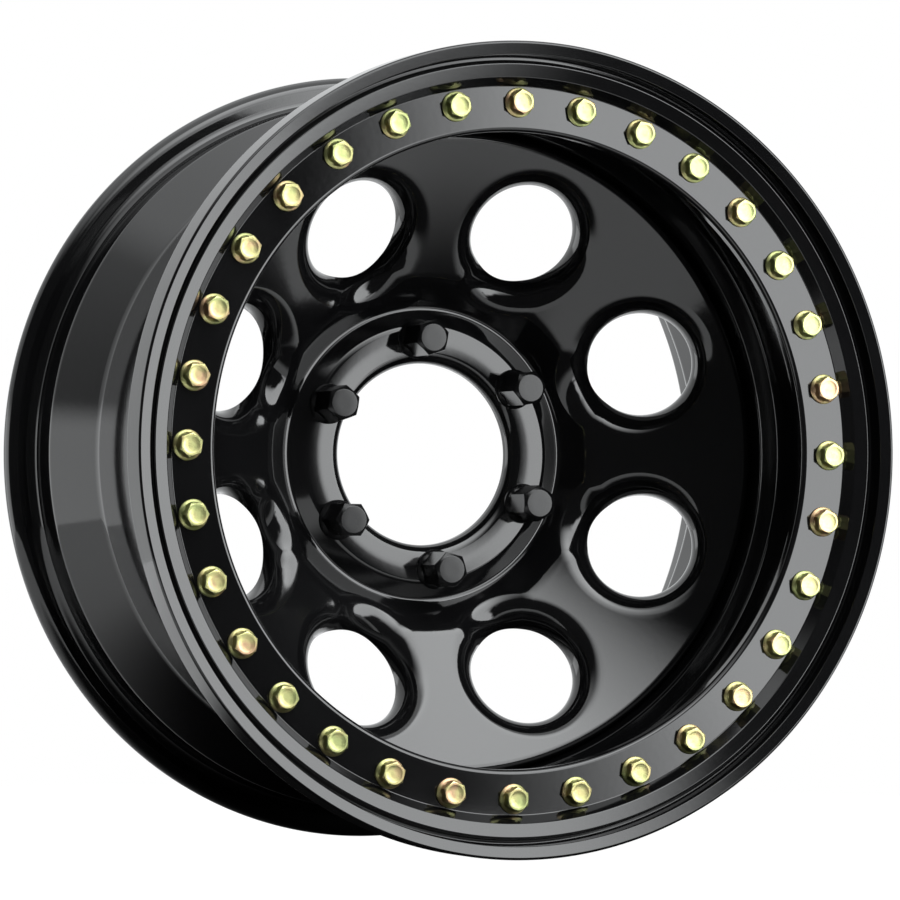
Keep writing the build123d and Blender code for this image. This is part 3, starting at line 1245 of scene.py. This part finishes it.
@dataclass
class Welds:
    """The weld behind the inner ring and the stitches along the disc's rim flange."""

    ring_r: float = 204.2
    ring_place: float = -67.4
    ring_leg: float = 3.3
    ring_bulge: float = 0.62
    stitches: int = 8
    stitch_r: float = 193.2
    stitch_place: float = 9.85
    stitch_leg: float = 5.5
    stitch_arc: float = 24.0
    stitch_steps: int = 36
    stitch_least: float = 0.25
    stitch_ends: float = 8.0
    ripple: float = 0.09
    crease: float = 75.0
    section: tuple[tuple[float, float], ...] = (
        (0.0, 0.0),
        (0.0, 1.0),
        (-0.35, 0.72),
        (-0.72, 0.35),
        (-1.0, 0.0),
    )

    def ring(self) -> Skin:
        """Spins the bead behind the inner ring."""
        leg, bulge = self.ring_leg, self.ring_leg * self.ring_bulge
        corners = [
            Corner(self.ring_r, self.ring_place),
            Corner(self.ring_r + leg, self.ring_place),
            Corner(self.ring_r + bulge, self.ring_place + bulge, 1.5),
            Corner(self.ring_r, self.ring_place + leg),
        ]
        return Skin.turned(corners, True)

    def bead(self, start: float, row: int, index: int) -> Vector:
        """Gives a point of a stitch, which swells from its ends and ripples.

        Args:
            start: Turn of the stitch's start, in degrees.
            row: Number of the section along the stitch.
            index: Number of the point in the section.

        Returns:
            The point in metres.
        """
        part = row / self.stitch_steps
        ends = min(1.0, self.stitch_ends * part, self.stitch_ends * (1.0 - part)) ** 0.5
        size = max(self.stitch_least, ends) * (1.0 - self.ripple * (row % 2))
        out, place = (side * self.stitch_leg for side in self.section[index])
        turn = start + self.stitch_arc * part
        return at_angle(self.stitch_r + out * size, turn, self.stitch_place + place * size)

    def stitched(self) -> Skin:
        """Lays the stitches with the ripples of a torch."""
        skin = Skin()
        for k in range(self.stitches):
            start = 360.0 * k / self.stitches - self.stitch_arc / 2.0
            loop = skin.ring(len(self.section), lambda i: self.bead(start, 0, i))
            skin.cap(list(loop))
            for row in range(1, self.stitch_steps + 1):
                loop = skin.grow(loop, lambda i: self.bead(start, row, i))
            skin.cap(list(reversed(loop)))
        skin.weld(HAIR_GAP)
        return skin

    def build(self, bench: Bench, finish: GlossBlack) -> None:
        """Lays both welds and dresses them."""
        name = "ring_weld_bead"
        bench.piece(name, self.ring().mesh(name), finish.make(), "ring_weld", "barrel_black")
        name = "disc_weld_stitches"
        mesh = self.stitched().mesh(name)
        bench.piece(name, mesh, finish.make(), "disc_welds", "barrel_black", self.crease)


@dataclass
class Studio:
    """Camera, floor, white backdrop and the soft light of the room, in metres and degrees."""

    camera_at: tuple[float, float, float] = (-1.2054, -2.9514, -0.0550)
    camera_to: tuple[float, float, float] = (-0.0354, -0.0969, 0.0002)
    focal: float = 212.62
    sensor: float = 36.0
    far: float = 50.0
    floor_at: tuple[float, float, float] = (-0.15, 0.1, -0.2368)
    floor_r: float = 0.8
    floor_pale: Colour = (0.8, 0.8, 0.8, 1.0)
    # Painted shadow: the dark floor colour round the wheel's foot
    floor_painted_shadow: Colour = (0.03, 0.03, 0.03, 1.0)
    floor_seen: float = 0.93
    floor_white: float = 1.1
    panel_at: tuple[float, float, float] = (0.62, -1.61, 0.06)
    panel_half: float = 0.62
    key: float = 6.3
    strip: float = 2.6
    ceiling: float = 1.7
    dim: float = 0.05
    backdrop: float = 0.7
    tint: Colour = (0.97, 0.99, 1.0, 1.0)

    def camera(self) -> None:
        """Sets the camera at the photograph's place."""
        lens = bpy.data.cameras.new("view")
        lens.sensor_width = self.sensor
        lens.lens = self.focal
        lens.clip_end = self.far
        camera = bpy.data.objects.new("view", lens)
        camera.location = self.camera_at
        way = Vector(self.camera_to) - Vector(self.camera_at)
        camera.rotation_euler = way.to_track_quat("-Z", "Y").to_euler()
        bpy.context.scene.collection.objects.link(camera)
        bpy.context.scene.camera = camera

    def staged(self, name: str, skin: Skin) -> tuple[bpy.types.Object, Shader]:
        """Adds an object of the stage with an empty material.

        Args:
            name: Name of the object.
            skin: Its mesh under construction.

        Returns:
            The object and the shader of its material.
        """
        thing = bpy.data.objects.new(name, skin.mesh(name))
        bpy.context.scene.collection.objects.link(thing)
        material, shader = bare_material(name + "_finish")
        thing.data.materials.append(material)
        return thing, shader

    def floor(self) -> None:
        """Lays the pale floor, with a painted shadow: its colour turns dark round the wheel's foot.
        """
        skin = Skin()
        at = Matrix.Translation(self.floor_at)
        bmesh.ops.create_circle(
            skin.bm, cap_ends=True, segments=96, radius=self.floor_r, matrix=at
        )
        _, shader = self.staged("floor", skin)
        # Painted shadow: the floor colour blends to dark inside an oval round the wheel's foot
        oval = {"Location": (0.0, 0.3, 0.0), "Scale": (2.4, 3.6, 0.0)}
        foot = shader.node("Mapping", {}, {"Vector": shader.place(), **oval})
        apart = shader.node("VectorMath", {"operation": "LENGTH"}, {0: foot}, "Value")
        pale = shader.step(apart, 0.7, 1.2)
        colour = shader.blend(pale, self.floor_painted_shadow, self.floor_pale)
        matt = shader.node("BsdfDiffuse", {}, {"Color": colour})
        white = shader.node("Emission", {}, {"Color": WHITE, "Strength": self.floor_white})
        seen = shader.ray(Ray.CAMERA) * self.floor_seen
        shader.surface(shader.node("MixShader", {}, {0: seen, 1: matt, 2: white}))

    def panel(self) -> None:
        """Stands a light panel right of the camera, with a soft slanted edge on its left."""
        skin = Skin()
        at = Matrix.Translation(self.panel_at) @ Matrix.Rotation(math.pi / 2.0, 4, "X")
        bmesh.ops.create_grid(
            skin.bm, x_segments=1, y_segments=1, size=self.panel_half, matrix=at
        )
        panel, shader = self.staged("light_panel", skin)
        panel.visible_camera = False
        across, high = shader.split(shader.place(), "XZ")
        start = shader.step(high, -0.28, 0.06, 0.57, 0.43) - shader.step(high, 0.3, 0.66, 0.0, 0.46)
        width = shader.step(high, 0.0, -0.25, 0.26, 0.36) + shader.step(high, 0.3, 0.66, 0.0, 0.5)
        lit = shader.step(across, start, start + width) * shader.step(high, -0.6, -0.3)
        level = lit * self.key + self.dim
        shader.surface(shader.node("Emission", {}, {"Color": self.tint, "Strength": level}))

    def world(self) -> None:
        """Makes the backdrop white and lays the soft light of the room round the wheel's front."""
        world = bpy.data.worlds.new("room")
        bpy.context.scene.world = world
        world.use_nodes = True
        shader = Shader(world.node_tree)
        step = shader.step
        way = shader.node("TexCoord", {}, {}, "Generated")
        right, back, up = shader.split(way, "XYZ")
        ahead = back * -1.0
        turn = right.turn_from(ahead)
        rise = up.rise()

        # The light from the upper right begins and is full at turns that change with height
        start = step(rise, 0.0, 30.0, 12.0, -14.0) - step(rise, 24.0, 40.0, 0.0, 32.0)
        end = step(rise, 2.0, 18.0, 24.0, 30.0) - step(rise, 22.0, 42.0, 0.0, 18.0)
        key = step(turn, start, end) * step(ahead, 0.4, 0.45)
        key = key * step(rise, -36.0, -8.0) * step(rise, 66.0, 54.0)

        # A low strip far to the left, the ceiling and the pale ground
        strip = step(turn, -152.0, -140.0) * step(turn, -80.0, -96.0)
        strip = strip * step(rise, -24.0, -16.0) * step(rise, 15.0, 6.0)
        ceiling = step(rise, 36.0, 58.0)
        ground = step(rise, -22.0, -38.0) * step(turn, -30.0, 36.0, 0.8, 1.5)
        room = key * self.key + strip * self.strip + ceiling * self.ceiling + ground + self.dim

        # The white backdrop, as the camera and glossy metal see it
        behind = step(back, -0.05, 0.2)
        camera = shader.ray(Ray.CAMERA)
        shown = shader.ray(Ray.GLOSSY).most(shader.ray(Ray.TRANSMISSION)) * behind
        level = camera + (1.0 - camera) * room.most(shown).most(behind * self.backdrop)
        colour = shader.blend(camera, self.tint, WHITE)
        light = shader.node("Background", {}, {"Color": colour, "Strength": level})
        shader.node("OutputWorld", {}, {"Surface": light})

    def build(self) -> None:
        """Sets the whole stage."""
        bpy.context.scene.view_settings.view_transform = "Standard"
        self.camera()
        self.floor()
        self.panel()
        self.world()


def main() -> None:
    """Builds the wheel piece by piece and sets the stage."""
    bench = Bench()
    ClampRing().build(bench, GlossBlack("ring_gloss_black"))
    InnerRing().build(bench, GlossBlack("inner_ring_black"))
    RimBarrel().build(bench, GlossBlack("barrel_gloss_black"))
    CentreDisc().build(bench, GlossBlack("disc_gloss_black"))
    ClampBolts().build(bench, YellowZinc("bolt_yellow_zinc"))
    LugNuts().build(bench, GlossBlack("nut_satin_black", rough=0.2, ior=1.4))
    Welds().build(bench, GlossBlack("weld_black", rough=0.2, ripple=0.2))
    Studio().build()
    log.info("pieces: %s", ", ".join(bench.made))


if __name__ == "__main__":
    main()
